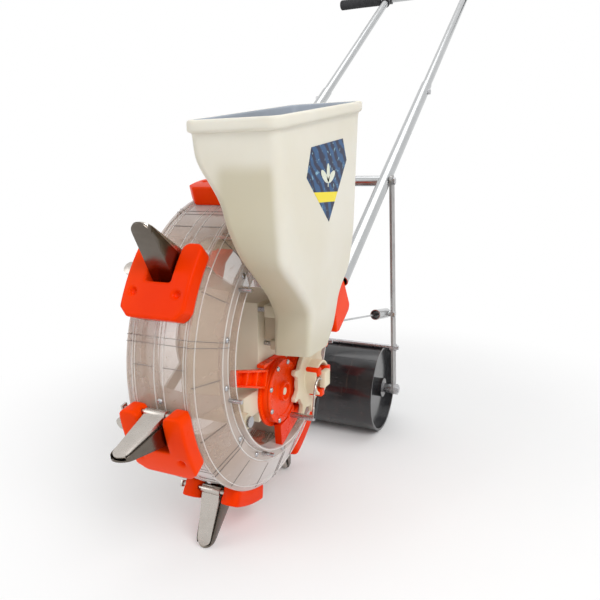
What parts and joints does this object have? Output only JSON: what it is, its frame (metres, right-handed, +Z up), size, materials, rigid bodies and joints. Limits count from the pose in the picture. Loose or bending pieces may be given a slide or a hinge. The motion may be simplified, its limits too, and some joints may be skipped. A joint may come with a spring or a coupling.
{
  "type": "walk-behind dial seed sower",
  "caption": "Walk-behind push seeder: a clear ring of hinged planting beaks round a metering seed box, with a side hopper, tube handles and a trailing press roller.",
  "frame": {"origin": "on the ground, at the middle of the machine's length and width", "axes": "+Z up, -Y the way it travels, +X its left side, where the hopper is"},
  "size_m": [0.506, 1.348, 0.9972],
  "materials": {
    "clear_shell": "clear, slightly tan",
    "screw_steel": "zinc plated",
    "beak_steel": "pressed sheet",
    "arm_steel": "zinc plated flat bar",
    "orange_plastic": "moulded",
    "cream_plastic": "translucent, moulded",
    "nylon": "moulded",
    "chrome_tube": "polished",
    "foam": "foam",
    "black_plastic": "gloss black",
    "dark_wire": "blackened wire"
  },
  "bodies": {
    "frame": {"arm_brace": "chrome_tube", "bracket_far": "orange_plastic", "bracket_near": "orange_plastic", "case_screws": "screw_steel", "centre_plate_far": "arm_steel", "centre_plate_near": "orange_plastic", "cross_tube": "chrome_tube", "frame_bolts": "screw_steel", "gear_case": "orange_plastic", "gear_cover": "orange_plastic", "grip_far": "foam", "grip_near": "foam", "handle_clamps": "black_plastic", "handlebar": "chrome_tube", "hopper": "cream_plastic", "lower_tube_far": "chrome_tube", "lower_tube_near": "chrome_tube", "roller_arm_far": "arm_steel", "roller_arm_near": "arm_steel", "roller_axle": "screw_steel", "seed_box": "cream_plastic", "seed_chute": "cream_plastic", "spindles": "screw_steel", "tie_rod": "screw_steel", "upper_tube_far": "chrome_tube", "upper_tube_near": "chrome_tube"},
    "drum": {"drum_shell_near": "clear_shell", "drum_shell_far": "clear_shell", "drive_pins": "screw_steel", "drum_screws": "screw_steel", "beak_seat_1": "orange_plastic", "beak_seat_2": "orange_plastic", "beak_seat_3": "orange_plastic", "beak_seat_4": "orange_plastic", "beak_seat_5": "orange_plastic", "beak_seat_6": "orange_plastic", "beak_seat_7": "orange_plastic", "fixed_beak_1": "beak_steel", "fixed_beak_2": "beak_steel", "fixed_beak_3": "beak_steel", "fixed_beak_4": "beak_steel", "fixed_beak_5": "beak_steel", "fixed_beak_6": "beak_steel", "fixed_beak_7": "beak_steel"},
    "jaw_1": {"moving_beak_1": "beak_steel"},
    "jaw_2": {"moving_beak_2": "beak_steel"},
    "jaw_3": {"moving_beak_3": "beak_steel"},
    "jaw_4": {"moving_beak_4": "beak_steel"},
    "jaw_5": {"moving_beak_5": "beak_steel"},
    "jaw_6": {"moving_beak_6": "beak_steel"},
    "jaw_7": {"moving_beak_7": "beak_steel"},
    "star": {"star_wheel": "nylon", "star_gear": "nylon"},
    "metering": {"roller_gear": "nylon", "seed_roller": "nylon"},
    "guide_front": {"guide_roller_front": "nylon"},
    "guide_rear": {"guide_roller_rear": "nylon"},
    "guide_top": {"guide_roller_top": "nylon"},
    "press": {"press_roller": "black_plastic"},
    "latch_bail": {"latch": "dark_wire"}
  },
  "joints": [
    {"name": "drum_spin", "type": "hinge", "parent": "frame", "child": "drum", "pos_m": [0, -0.39688, 0.25631], "axis": [1, 0, 0], "continuous": true},
    {"name": "jaw_1_hinge", "type": "hinge", "parent": "drum", "child": "jaw_1", "pos_m": [0, -0.49589, 0.07146], "axis": [-1, 0, 0], "range_deg": [0, 16], "stiffness_Nm_per_rad": 1, "springref_deg": -11.46},
    {"name": "jaw_2_hinge", "type": "hinge", "parent": "drum", "child": "jaw_2", "pos_m": [0, -0.60313, 0.21846], "axis": [-1, 0, 0], "range_deg": [0, 16], "stiffness_Nm_per_rad": 1, "springref_deg": -11.46},
    {"name": "jaw_3_hinge", "type": "hinge", "parent": "drum", "child": "jaw_3", "pos_m": [0, -0.55506, 0.39397], "axis": [-1, 0, 0], "range_deg": [0, 16], "stiffness_Nm_per_rad": 1, "springref_deg": -11.46},
    {"name": "jaw_4_hinge", "type": "hinge", "parent": "drum", "child": "jaw_4", "pos_m": [0, -0.38788, 0.46581], "axis": [-1, 0, 0], "range_deg": [0, 16], "stiffness_Nm_per_rad": 1, "springref_deg": -11.46},
    {"name": "jaw_5_hinge", "type": "hinge", "parent": "drum", "child": "jaw_5", "pos_m": [0, -0.22748, 0.37989], "axis": [-1, 0, 0], "range_deg": [0, 16], "stiffness_Nm_per_rad": 1, "springref_deg": -11.46},
    {"name": "jaw_6_hinge", "type": "hinge", "parent": "drum", "child": "jaw_6", "pos_m": [0, -0.19464, 0.20092], "axis": [-1, 0, 0], "range_deg": [0, 16], "stiffness_Nm_per_rad": 1, "springref_deg": -11.46},
    {"name": "jaw_7_hinge", "type": "hinge", "parent": "drum", "child": "jaw_7", "pos_m": [0, -0.31409, 0.06365], "axis": [-1, 0, 0], "range_deg": [0, 16], "stiffness_Nm_per_rad": 1, "springref_deg": -11.46},
    {"name": "star_spin", "type": "hinge", "parent": "frame", "child": "star", "pos_m": [0, -0.33488, 0.19131], "axis": [1, 0, 0], "continuous": true},
    {"name": "metering_spin", "type": "hinge", "parent": "frame", "child": "metering", "pos_m": [0, -0.40988, 0.19131], "axis": [1, 0, 0], "continuous": true},
    {"name": "guide_front_spin", "type": "hinge", "parent": "frame", "child": "guide_front", "pos_m": [0, -0.50817, 0.18404], "axis": [1, 0, 0], "continuous": true},
    {"name": "guide_rear_spin", "type": "hinge", "parent": "frame", "child": "guide_rear", "pos_m": [0, -0.2662, 0.23327], "axis": [1, 0, 0], "continuous": true},
    {"name": "guide_top_spin", "type": "hinge", "parent": "frame", "child": "guide_top", "pos_m": [0, -0.39688, 0.38901], "axis": [1, 0, 0], "continuous": true},
    {"name": "press_spin", "type": "hinge", "parent": "frame", "child": "press", "pos_m": [0, -0.04488, 0.083], "axis": [1, 0, 0], "continuous": true},
    {"name": "latch_hinge", "type": "hinge", "parent": "frame", "child": "latch_bail", "pos_m": [0, -0.38688, 0.14831], "axis": [1, 0, 0], "range_deg": [0, 60]}
  ],
  "couplings": [
    {"joint": "star_spin", "follows": "drum_spin", "ratio": 0.77778},
    {"joint": "metering_spin", "follows": "drum_spin", "ratio": -0.77778},
    {"joint": "guide_front_spin", "follows": "drum_spin", "ratio": 14.3},
    {"joint": "guide_rear_spin", "follows": "drum_spin", "ratio": 14.3},
    {"joint": "guide_top_spin", "follows": "drum_spin", "ratio": 14.3}
  ]
}
